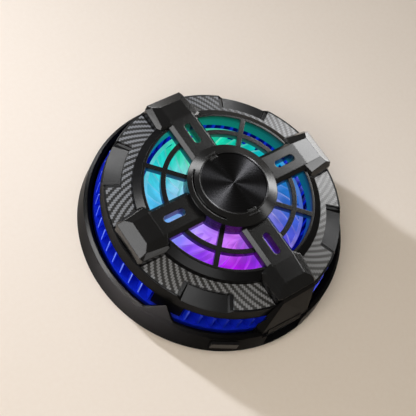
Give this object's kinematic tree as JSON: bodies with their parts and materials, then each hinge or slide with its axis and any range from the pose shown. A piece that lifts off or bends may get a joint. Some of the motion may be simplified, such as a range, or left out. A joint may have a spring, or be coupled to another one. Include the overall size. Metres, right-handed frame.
{
  "type": "phone cooling fan",
  "caption": "Round phone cooler: a fan behind an armed grille, a ring of heat sink fins, a woven-look deck, a cable socket and a magnetic contact pad.",
  "frame": {"origin": "centre of the contact face that lies on the phone", "axes": "+Z is the fan's axis, away from the phone; -Y is the side of the cable socket; the arms lie along X and Y"},
  "size_m": [0.072, 0.072, 0.027],
  "materials": {
    "shell_plastic": "satin moulded, fine spark texture",
    "frame_plastic": "satin moulded, crisp facets",
    "woven_film": "twill weave under a clear coat",
    "cap_metal": "spun and black anodised",
    "fin_metal": "blue anodised",
    "clear_plastic": "milky clear moulding",
    "silicone": "soft matt",
    "cold_metal": "turned face",
    "magnet_metal": "nickel plated",
    "steel": "zinc plated",
    "ceramic_plate": "fired alumina",
    "thermal_pad": "soft filled silicone",
    "foam": "closed-cell foam",
    "board": "solder mask",
    "light_board": "white solder mask",
    "lamp": "clear lens",
    "copper": "enamelled wire",
    "brass_part": "turned",
    "wire": "insulated",
    "dark_plastic": "moulded"
  },
  "bodies": {
    "housing": {"contact_pad": "silicone", "cold_plate": "cold_metal", "base_shell": "shell_plastic", "magnets": "magnet_metal", "magnet_yoke": "steel", "thermal_pad_cold": "thermal_pad", "peltier": "ceramic_plate", "peltier_leads": "wire", "thermal_pad_hot": "thermal_pad", "foam_frame": "foam", "control_board": "board", "usb_socket": "steel", "usb_tongue": "dark_plastic", "tact_switch": "steel", "board_link": "brass_part", "board_screws": "steel", "heat_sink": "fin_metal", "led_board": "light_board", "leds": "lamp", "light_guide": "clear_plastic", "motor_base": "dark_plastic", "motor_screws": "steel", "bearing": "brass_part", "stator": "steel", "coils": "copper", "top_cover": "shell_plastic", "cover_screws": "steel", "carbon_inlay_1": "woven_film", "carbon_inlay_2": "woven_film", "carbon_inlay_3": "woven_film", "carbon_inlay_4": "woven_film", "grille": "shell_plastic", "top_frame": "frame_plastic", "hub_ring": "frame_plastic", "centre_cap": "cap_metal", "port_housing": "frame_plastic", "port_visor": "frame_plastic"},
    "rotor": {"shaft": "steel", "rotor_cup": "steel", "rotor_magnet": "magnet_metal", "impeller": "clear_plastic"},
    "button": {"power_button": "frame_plastic"}
  },
  "joints": [
    {"name": "fan_spin", "type": "hinge", "parent": "housing", "child": "rotor", "pos_m": [0, 0, 0.015], "axis": [0, 0, 1], "continuous": true},
    {"name": "power_press", "type": "slide", "parent": "housing", "child": "button", "axis": [0.5105, 0.8599, 0], "range_m": [0, 0.0004], "stiffness_N_per_m": 800, "springref_m": -0.0002}
  ]
}
